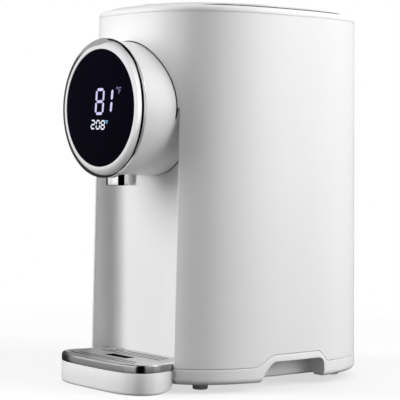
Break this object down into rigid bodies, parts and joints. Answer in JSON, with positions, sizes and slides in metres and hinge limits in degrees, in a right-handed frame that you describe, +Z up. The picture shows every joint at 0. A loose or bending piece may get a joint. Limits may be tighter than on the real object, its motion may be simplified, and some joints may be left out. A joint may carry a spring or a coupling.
{
  "type": "electric thermo pot",
  "caption": "Tall rounded hot water dispenser with a round display head, turning ring, spout over a pull-out drip tray, hinged lid and inner tank with pump.",
  "frame": {"origin": "middle of the whole footprint, tray included, on the surface it stands on", "axes": "+Z up, front with the head and tray towards -Y, +X to the right seen from the front"},
  "size_m": [0.1894, 0.2606, 0.3272],
  "materials": {
    "white_shell": "satin",
    "white_inner": "matte",
    "chrome": "polished",
    "brushed": "brushed",
    "steel": "satin",
    "aluminium": "cast",
    "black_glass": "gloss",
    "black_plastic": "matte",
    "digits": "lit",
    "board": "satin",
    "silicone": "matte",
    "foot_rubber": "matte",
    "ceramic": "matte"
  },
  "bodies": {
    "body": {"outer_shell": "white_shell", "front_panel": "white_shell", "top_collar": "white_shell", "base_ring": "white_shell", "bottom_cover": "white_inner", "base_screws": "steel", "feet": "foot_rubber", "tank": "steel", "tank_gasket": "silicone", "tank_support": "white_inner", "heater_plate": "aluminium", "thermostats": "ceramic", "water_sensor": "steel", "suction_hose": "silicone", "pump_housing": "black_plastic", "pump_cover": "black_plastic", "pump_motor": "steel", "discharge_hose": "silicone", "riser_tube": "white_inner", "hose_clamps": "steel", "spout": "chrome", "spout_nozzle": "black_plastic", "head_barrel": "white_shell", "head_screws": "steel", "dial_bearing": "white_inner", "head_board": "board", "press_switch": "black_plastic", "power_board": "board", "board_screws": "steel", "power_inlet": "black_plastic", "hinge_pin": "steel"},
    "lid": {"lid_shell": "white_shell", "lid_cap": "white_shell", "lid_liner": "white_inner", "lid_gasket": "silicone", "steam_baffle": "white_inner", "lid_screws": "steel", "latch_spring": "steel"},
    "button": {"lid_button": "white_shell"},
    "latch": {"latch_tongue": "white_inner"},
    "dial": {"dial_ring": "chrome"},
    "display": {"display_lens": "black_glass", "lens_carrier": "black_plastic", "display_board": "board", "display_digits": "digits"},
    "impeller": {"pump_impeller": "white_inner"},
    "tray": {"drip_tray": "white_shell", "tray_trim": "chrome"},
    "grille": {"tray_grille": "brushed"}
  },
  "joints": [
    {"name": "lid_hinge", "type": "hinge", "parent": "body", "child": "lid", "pos_m": [0, 0.11032, 0.3185], "axis": [-1, 0, 0], "range_deg": [0, 92]},
    {"name": "lid_button_press", "type": "slide", "parent": "lid", "child": "button", "axis": [0, 0, -1], "range_m": [0, 0.0025], "stiffness_N_per_m": 400, "springref_m": -0.001, "deforming": ["latch_spring"]},
    {"name": "latch_slide", "type": "slide", "parent": "lid", "child": "latch", "axis": [0, 1, 0], "range_m": [0, 0.002]},
    {"name": "dial_turn", "type": "hinge", "parent": "body", "child": "dial", "pos_m": [0, -0.11828, 0.2353], "axis": [0, -1, 0], "continuous": true},
    {"name": "display_press", "type": "slide", "parent": "body", "child": "display", "axis": [0, 1, 0], "range_m": [0, 0.0012], "stiffness_N_per_m": 1500, "springref_m": -0.0006},
    {"name": "impeller_spin", "type": "hinge", "parent": "body", "child": "impeller", "pos_m": [0, -0.00428, 0.039], "axis": [0, 0, 1], "continuous": true},
    {"name": "tray_pull", "type": "slide", "parent": "body", "child": "tray", "axis": [0, -1, 0], "range_m": [0, 0.09]},
    {"name": "grille_lift", "type": "slide", "parent": "tray", "child": "grille", "axis": [0, 0, 1], "range_m": [0, 0.03]}
  ],
  "couplings": [
    {"joint": "latch_slide", "follows": "lid_button_press", "ratio": 0.8}
  ]
}
